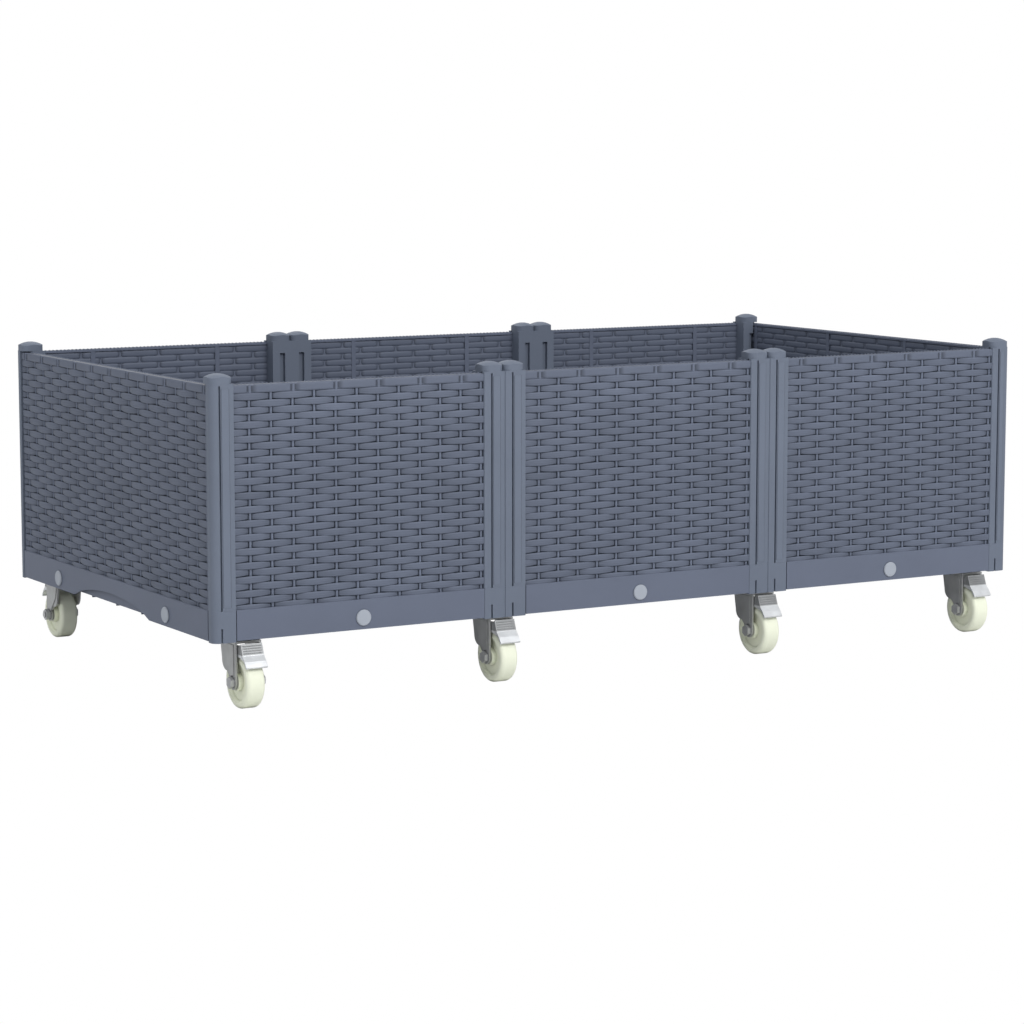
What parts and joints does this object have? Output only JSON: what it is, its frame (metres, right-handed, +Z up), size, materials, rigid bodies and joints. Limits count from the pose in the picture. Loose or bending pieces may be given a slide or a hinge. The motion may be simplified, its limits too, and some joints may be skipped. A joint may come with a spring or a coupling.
{
  "type": "rolling planter",
  "caption": "Long woven-look planter box of plastic panels and grooved posts on joined trays, rolling on braked swivel castors, with drain plugs along its skirt.",
  "frame": {"origin": "on the floor under the middle of the planter, the centre of the bounding box's bottom", "axes": "+X along the long front to the right, +Y from the front face to the rear, +Z up"},
  "size_m": [1.2046, 0.6568, 0.406],
  "materials": {
    "wall_plastic": "moulded weave, satin",
    "post_plastic": "satin",
    "tray_plastic": "satin",
    "plug_plastic": "satin",
    "zinc_steel": "zinc plated",
    "pedal_steel": "zinc plated, bright",
    "wheel_nylon": "white nylon"
  },
  "bodies": {
    "planter": {"base_tray_left": "tray_plastic", "base_tray_middle": "tray_plastic", "base_tray_right": "tray_plastic", "front_wall_left": "wall_plastic", "front_wall_middle": "wall_plastic", "front_wall_right": "wall_plastic", "rear_wall_left": "wall_plastic", "rear_wall_middle": "wall_plastic", "rear_wall_right": "wall_plastic", "end_wall_left": "wall_plastic", "end_wall_right": "wall_plastic", "posts_left": "post_plastic", "posts_middle": "post_plastic", "posts_right": "post_plastic", "post_caps": "post_plastic", "tray_couplers": "tray_plastic", "castor_plates": "zinc_steel", "castor_screws": "zinc_steel"},
    "castor_1": {"castor_fork_1": "zinc_steel", "castor_axle_1": "zinc_steel"},
    "wheel_1": {"castor_wheel_1": "wheel_nylon"},
    "pedal_1": {"castor_pedal_1": "pedal_steel"},
    "castor_2": {"castor_fork_2": "zinc_steel", "castor_axle_2": "zinc_steel"},
    "wheel_2": {"castor_wheel_2": "wheel_nylon"},
    "pedal_2": {"castor_pedal_2": "pedal_steel"},
    "castor_3": {"castor_fork_3": "zinc_steel", "castor_axle_3": "zinc_steel"},
    "wheel_3": {"castor_wheel_3": "wheel_nylon"},
    "pedal_3": {"castor_pedal_3": "pedal_steel"},
    "castor_4": {"castor_fork_4": "zinc_steel", "castor_axle_4": "zinc_steel"},
    "wheel_4": {"castor_wheel_4": "wheel_nylon"},
    "pedal_4": {"castor_pedal_4": "pedal_steel"},
    "castor_5": {"castor_fork_5": "zinc_steel", "castor_axle_5": "zinc_steel"},
    "wheel_5": {"castor_wheel_5": "wheel_nylon"},
    "pedal_5": {"castor_pedal_5": "pedal_steel"},
    "castor_6": {"castor_fork_6": "zinc_steel", "castor_axle_6": "zinc_steel"},
    "wheel_6": {"castor_wheel_6": "wheel_nylon"},
    "pedal_6": {"castor_pedal_6": "pedal_steel"},
    "castor_7": {"castor_fork_7": "zinc_steel", "castor_axle_7": "zinc_steel"},
    "wheel_7": {"castor_wheel_7": "wheel_nylon"},
    "pedal_7": {"castor_pedal_7": "pedal_steel"},
    "castor_8": {"castor_fork_8": "zinc_steel", "castor_axle_8": "zinc_steel"},
    "wheel_8": {"castor_wheel_8": "wheel_nylon"},
    "pedal_8": {"castor_pedal_8": "pedal_steel"},
    "plug_1": {"drain_plug_1": "plug_plastic"},
    "plug_2": {"drain_plug_2": "plug_plastic"},
    "plug_3": {"drain_plug_3": "plug_plastic"},
    "plug_4": {"drain_plug_4": "plug_plastic"},
    "plug_5": {"drain_plug_5": "plug_plastic"},
    "plug_6": {"drain_plug_6": "plug_plastic"},
    "plug_7": {"drain_plug_7": "plug_plastic"},
    "plug_8": {"drain_plug_8": "plug_plastic"},
    "plug_9": {"drain_plug_9": "plug_plastic"},
    "plug_10": {"drain_plug_10": "plug_plastic"}
  },
  "joints": [
    {"name": "swivel_1", "type": "hinge", "parent": "planter", "child": "castor_1", "pos_m": [-0.55, -0.274, 0.083], "axis": [0, 0, 1], "continuous": true},
    {"name": "wheel_spin_1", "type": "hinge", "parent": "castor_1", "child": "wheel_1", "pos_m": [-0.55, -0.295, 0.0325], "axis": [1, 0, 0], "continuous": true},
    {"name": "brake_1", "type": "hinge", "parent": "castor_1", "child": "pedal_1", "pos_m": [-0.55, -0.294, 0.073], "axis": [1, 0, 0], "range_deg": [0, 7]},
    {"name": "swivel_2", "type": "hinge", "parent": "planter", "child": "castor_2", "pos_m": [-0.2, -0.274, 0.083], "axis": [0, 0, 1], "continuous": true},
    {"name": "wheel_spin_2", "type": "hinge", "parent": "castor_2", "child": "wheel_2", "pos_m": [-0.2, -0.295, 0.0325], "axis": [1, 0, 0], "continuous": true},
    {"name": "brake_2", "type": "hinge", "parent": "castor_2", "child": "pedal_2", "pos_m": [-0.2, -0.294, 0.073], "axis": [1, 0, 0], "range_deg": [0, 7]},
    {"name": "swivel_3", "type": "hinge", "parent": "planter", "child": "castor_3", "pos_m": [0.2, -0.274, 0.083], "axis": [0, 0, 1], "continuous": true},
    {"name": "wheel_spin_3", "type": "hinge", "parent": "castor_3", "child": "wheel_3", "pos_m": [0.2, -0.295, 0.0325], "axis": [1, 0, 0], "continuous": true},
    {"name": "brake_3", "type": "hinge", "parent": "castor_3", "child": "pedal_3", "pos_m": [0.2, -0.294, 0.073], "axis": [1, 0, 0], "range_deg": [0, 7]},
    {"name": "swivel_4", "type": "hinge", "parent": "planter", "child": "castor_4", "pos_m": [0.55, -0.274, 0.083], "axis": [0, 0, 1], "continuous": true},
    {"name": "wheel_spin_4", "type": "hinge", "parent": "castor_4", "child": "wheel_4", "pos_m": [0.55, -0.295, 0.0325], "axis": [1, 0, 0], "continuous": true},
    {"name": "brake_4", "type": "hinge", "parent": "castor_4", "child": "pedal_4", "pos_m": [0.55, -0.294, 0.073], "axis": [1, 0, 0], "range_deg": [0, 7]},
    {"name": "swivel_5", "type": "hinge", "parent": "planter", "child": "castor_5", "pos_m": [0.55, 0.274, 0.083], "axis": [0, 0, 1], "continuous": true},
    {"name": "wheel_spin_5", "type": "hinge", "parent": "castor_5", "child": "wheel_5", "pos_m": [0.55, 0.295, 0.0325], "axis": [-1, 0, 0], "continuous": true},
    {"name": "brake_5", "type": "hinge", "parent": "castor_5", "child": "pedal_5", "pos_m": [0.55, 0.294, 0.073], "axis": [-1, 0, 0], "range_deg": [0, 7]},
    {"name": "swivel_6", "type": "hinge", "parent": "planter", "child": "castor_6", "pos_m": [0.2, 0.274, 0.083], "axis": [0, 0, 1], "continuous": true},
    {"name": "wheel_spin_6", "type": "hinge", "parent": "castor_6", "child": "wheel_6", "pos_m": [0.2, 0.295, 0.0325], "axis": [-1, 0, 0], "continuous": true},
    {"name": "brake_6", "type": "hinge", "parent": "castor_6", "child": "pedal_6", "pos_m": [0.2, 0.294, 0.073], "axis": [-1, 0, 0], "range_deg": [0, 7]},
    {"name": "swivel_7", "type": "hinge", "parent": "planter", "child": "castor_7", "pos_m": [-0.2, 0.274, 0.083], "axis": [0, 0, 1], "continuous": true},
    {"name": "wheel_spin_7", "type": "hinge", "parent": "castor_7", "child": "wheel_7", "pos_m": [-0.2, 0.295, 0.0325], "axis": [-1, 0, 0], "continuous": true},
    {"name": "brake_7", "type": "hinge", "parent": "castor_7", "child": "pedal_7", "pos_m": [-0.2, 0.294, 0.073], "axis": [-1, 0, 0], "range_deg": [0, 7]},
    {"name": "swivel_8", "type": "hinge", "parent": "planter", "child": "castor_8", "pos_m": [-0.55, 0.274, 0.083], "axis": [0, 0, 1], "continuous": true},
    {"name": "wheel_spin_8", "type": "hinge", "parent": "castor_8", "child": "wheel_8", "pos_m": [-0.55, 0.295, 0.0325], "axis": [-1, 0, 0], "continuous": true},
    {"name": "brake_8", "type": "hinge", "parent": "castor_8", "child": "pedal_8", "pos_m": [-0.55, 0.294, 0.073], "axis": [-1, 0, 0], "range_deg": [0, 7]},
    {"name": "plug_pull_1", "type": "slide", "parent": "planter", "child": "plug_1", "axis": [0, -1, 0], "range_m": [0, 0.016]},
    {"name": "plug_pull_2", "type": "slide", "parent": "planter", "child": "plug_2", "axis": [0, -1, 0], "range_m": [0, 0.016]},
    {"name": "plug_pull_3", "type": "slide", "parent": "planter", "child": "plug_3", "axis": [0, -1, 0], "range_m": [0, 0.016]},
    {"name": "plug_pull_4", "type": "slide", "parent": "planter", "child": "plug_4", "axis": [1, 0, 0], "range_m": [0, 0.016]},
    {"name": "plug_pull_5", "type": "slide", "parent": "planter", "child": "plug_5", "axis": [1, 0, 0], "range_m": [0, 0.016]},
    {"name": "plug_pull_6", "type": "slide", "parent": "planter", "child": "plug_6", "axis": [0, 1, 0], "range_m": [0, 0.016]},
    {"name": "plug_pull_7", "type": "slide", "parent": "planter", "child": "plug_7", "axis": [0, 1, 0], "range_m": [0, 0.016]},
    {"name": "plug_pull_8", "type": "slide", "parent": "planter", "child": "plug_8", "axis": [0, 1, 0], "range_m": [0, 0.016]},
    {"name": "plug_pull_9", "type": "slide", "parent": "planter", "child": "plug_9", "axis": [-1, 0, 0], "range_m": [0, 0.016]},
    {"name": "plug_pull_10", "type": "slide", "parent": "planter", "child": "plug_10", "axis": [-1, 0, 0], "range_m": [0, 0.016]}
  ]
}
